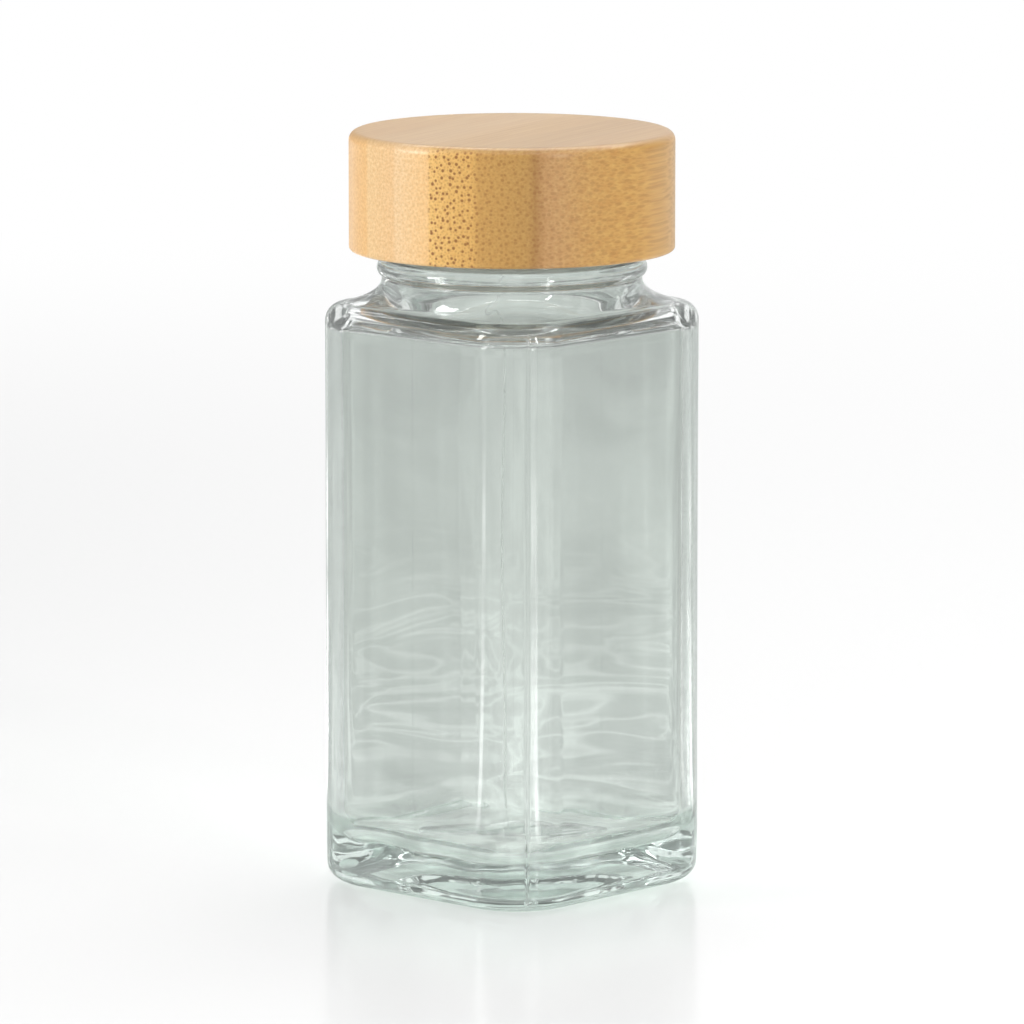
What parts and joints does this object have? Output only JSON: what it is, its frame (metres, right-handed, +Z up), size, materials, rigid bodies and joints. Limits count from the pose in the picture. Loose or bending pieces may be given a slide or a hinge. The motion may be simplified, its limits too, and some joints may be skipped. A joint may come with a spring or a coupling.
{
  "type": "spice jar",
  "caption": "Square clear-glass spice jar with a round screw-on bamboo lid, a liner seal and a push-in sifter insert.",
  "frame": {"origin": "centre of the base, on the surface the jar stands on", "axes": "+Z up along the axis of the neck and lid, X and Y square to the flat sides of the body"},
  "size_m": [0.0466, 0.0464, 0.1085],
  "materials": {
    "clear_glass": "fire-polished moulded soda-lime glass",
    "sifter_plastic": "natural moulded plastic, semi-gloss",
    "liner_foam": "white foamed liner",
    "cap_plastic": "natural white moulded plastic",
    "bamboo": "turned and sanded laminated bamboo, satin clear coat"
  },
  "bodies": {
    "jar": {"glass_jar": "clear_glass"},
    "sifter": {"sifter_insert": "sifter_plastic"},
    "liner": {"seal_liner": "liner_foam"},
    "lid": {"inner_cap": "cap_plastic", "bamboo_cover": "bamboo"}
  },
  "joints": [
    {"name": "sifter_pull", "type": "slide", "parent": "jar", "child": "sifter", "axis": [0, 0, 1], "range_m": [0, 0.03]},
    {"name": "lid_lift", "type": "slide", "parent": "sifter", "child": "liner", "axis": [0, 0, 1], "range_m": [0, 0.03]},
    {"name": "lid_turn", "type": "hinge", "parent": "liner", "child": "lid", "pos_m": [0, 0, 0.0915], "axis": [0, 0, 1], "range_deg": [0, 360]}
  ]
}
